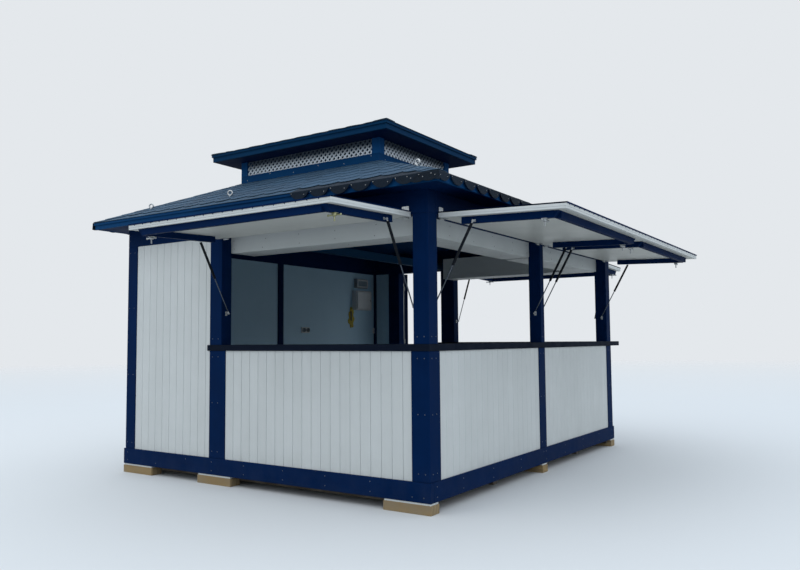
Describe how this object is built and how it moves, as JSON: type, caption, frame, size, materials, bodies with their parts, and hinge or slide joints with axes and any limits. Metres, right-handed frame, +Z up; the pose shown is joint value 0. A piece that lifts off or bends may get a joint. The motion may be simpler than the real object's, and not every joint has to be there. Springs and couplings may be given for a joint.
{
  "type": "street kiosk",
  "caption": "Navy and white timber serving kiosk with raised hatches on gas struts, wrap-round counter, board walls and a hipped shingle roof with a lattice lantern.",
  "frame": {"origin": "centre of the timber frame plan, on the level ground under the middle support block", "axes": "+Z up; -Y the front with the solid bay; +X the long side with two hatches; +Y the back with the doorway"},
  "size_m": [4.7612, 6.1146, 3.3851],
  "materials": {
    "bare_wood": "rough sawn",
    "white_paint": "white paint on wood",
    "dark_counter": "dark laminate on board",
    "shingle": "granular",
    "black_steel": "gloss",
    "bright_steel": "zinc plated",
    "floor_wood": "rough sawn",
    "pale_plastic": "satin",
    "navy_paint": "navy paint on wood"
  },
  "bodies": {
    "base": {"back_counter": "dark_counter", "back_wall": "white_paint", "counter_panels": "white_paint", "eave_fascia": "navy_paint", "eave_soffit": "navy_paint", "electrical_boxes": "pale_plastic", "end_roof_slopes": "shingle", "floor_bearers": "floor_wood", "floor_deck": "floor_wood", "frame_posts": "navy_paint", "front_counter": "dark_counter", "front_wall": "white_paint", "header_boxes": "white_paint", "hinge_halves": "bright_steel", "lantern_base": "navy_paint", "lantern_head": "navy_paint", "lantern_long_lattices": "white_paint", "lantern_posts": "navy_paint", "lantern_side_lattices": "white_paint", "left_wall_bays": "white_paint", "lifting_eyes": "bright_steel", "right_counter": "dark_counter", "ring_beam": "navy_paint", "shims": "white_paint", "side_roof_slopes": "shingle", "sill_frame": "navy_paint", "strut_feet": "bright_steel", "support_blocks": "bare_wood", "tie_beam": "navy_paint", "upper_fascia": "navy_paint", "upper_roof": "shingle", "upper_soffit": "navy_paint"},
    "front_hatch": {"front_hatch_cover": "navy_paint", "front_hatch_fittings": "bright_steel", "front_hatch_frame": "navy_paint", "front_hatch_panel": "white_paint"},
    "front_tubes": {"front_strut_tubes": "black_steel"},
    "front_rods": {"front_strut_rods": "bright_steel"},
    "right_near_hatch": {"right_near_hatch_cover": "navy_paint", "right_near_hatch_fittings": "bright_steel", "right_near_hatch_frame": "navy_paint", "right_near_hatch_panel": "white_paint"},
    "right_near_tubes": {"right_near_strut_tubes": "black_steel"},
    "right_near_rods": {"right_near_strut_rods": "bright_steel"},
    "right_far_hatch": {"right_far_hatch_cover": "navy_paint", "right_far_hatch_fittings": "bright_steel", "right_far_hatch_frame": "navy_paint", "right_far_hatch_panel": "white_paint"},
    "right_far_tubes": {"right_far_strut_tubes": "black_steel"},
    "right_far_rods": {"right_far_strut_rods": "bright_steel"},
    "back_hatch": {"back_hatch_cover": "navy_paint", "back_hatch_fittings": "bright_steel", "back_hatch_frame": "navy_paint", "back_hatch_panel": "white_paint"},
    "back_tubes": {"back_strut_tubes": "black_steel"},
    "back_rods": {"back_strut_rods": "bright_steel"},
    "door": {"door_hinges": "bright_steel", "door_knobs": "bright_steel", "door_leaf": "navy_paint"}
  },
  "joints": [
    {"name": "front_hatch_hinge", "type": "hinge", "parent": "base", "child": "front_hatch", "pos_m": [0, -2.108, 2.179], "axis": [1, 0, 0], "range_deg": [0, 88]},
    {"name": "front_strut_turn", "type": "hinge", "parent": "front_hatch", "child": "front_tubes", "pos_m": [0, -2.38685, 2.13973], "axis": [1, 0, 0], "range_deg": [-112.2, 0.5]},
    {"name": "front_strut_slide", "type": "slide", "parent": "front_tubes", "child": "front_rods", "axis": [0, -0.48, 0.8773], "range_m": [-0.001, 0.32774]},
    {"name": "right_near_hatch_hinge", "type": "hinge", "parent": "base", "child": "right_near_hatch", "pos_m": [1.758, 0, 2.179], "axis": [0, 1, 0], "range_deg": [0, 88]},
    {"name": "right_near_strut_turn", "type": "hinge", "parent": "right_near_hatch", "child": "right_near_tubes", "pos_m": [2.03685, 0, 2.13973], "axis": [0, 1, 0], "range_deg": [-112.2, 0.5]},
    {"name": "right_near_strut_slide", "type": "slide", "parent": "right_near_tubes", "child": "right_near_rods", "axis": [0.48, 0, 0.8773], "range_m": [-0.001, 0.32774]},
    {"name": "right_far_hatch_hinge", "type": "hinge", "parent": "base", "child": "right_far_hatch", "pos_m": [1.758, 0, 2.179], "axis": [0, 1, 0], "range_deg": [0, 88]},
    {"name": "right_far_strut_turn", "type": "hinge", "parent": "right_far_hatch", "child": "right_far_tubes", "pos_m": [2.03685, 0, 2.13973], "axis": [0, 1, 0], "range_deg": [-112.2, 0.5]},
    {"name": "right_far_strut_slide", "type": "slide", "parent": "right_far_tubes", "child": "right_far_rods", "axis": [0.48, 0, 0.8773], "range_m": [-0.001, 0.32774]},
    {"name": "back_hatch_hinge", "type": "hinge", "parent": "base", "child": "back_hatch", "pos_m": [0, 2.108, 2.179], "axis": [-1, 0, 0], "range_deg": [0, 88]},
    {"name": "back_strut_turn", "type": "hinge", "parent": "back_hatch", "child": "back_tubes", "pos_m": [0, 2.38685, 2.13973], "axis": [-1, 0, 0], "range_deg": [-112.2, 0.5]},
    {"name": "back_strut_slide", "type": "slide", "parent": "back_tubes", "child": "back_rods", "axis": [0, 0.48, 0.8773], "range_m": [-0.001, 0.32774]},
    {"name": "door_hinge", "type": "hinge", "parent": "base", "child": "door", "pos_m": [-1.209, 2.108, 1.25], "axis": [0, 0, 1], "range_deg": [-135, 0]}
  ],
  "couplings": [
    {"joint": "front_strut_turn", "follows": "front_hatch_hinge", "ratio": -1.2693},
    {"joint": "front_strut_slide", "follows": "front_hatch_hinge", "m_per_rad": 0.21274},
    {"joint": "right_near_strut_turn", "follows": "right_near_hatch_hinge", "ratio": -1.2693},
    {"joint": "right_near_strut_slide", "follows": "right_near_hatch_hinge", "m_per_rad": 0.21274},
    {"joint": "right_far_strut_turn", "follows": "right_far_hatch_hinge", "ratio": -1.2693},
    {"joint": "right_far_strut_slide", "follows": "right_far_hatch_hinge", "m_per_rad": 0.21274},
    {"joint": "back_strut_turn", "follows": "back_hatch_hinge", "ratio": -1.2693},
    {"joint": "back_strut_slide", "follows": "back_hatch_hinge", "m_per_rad": 0.21274}
  ]
}
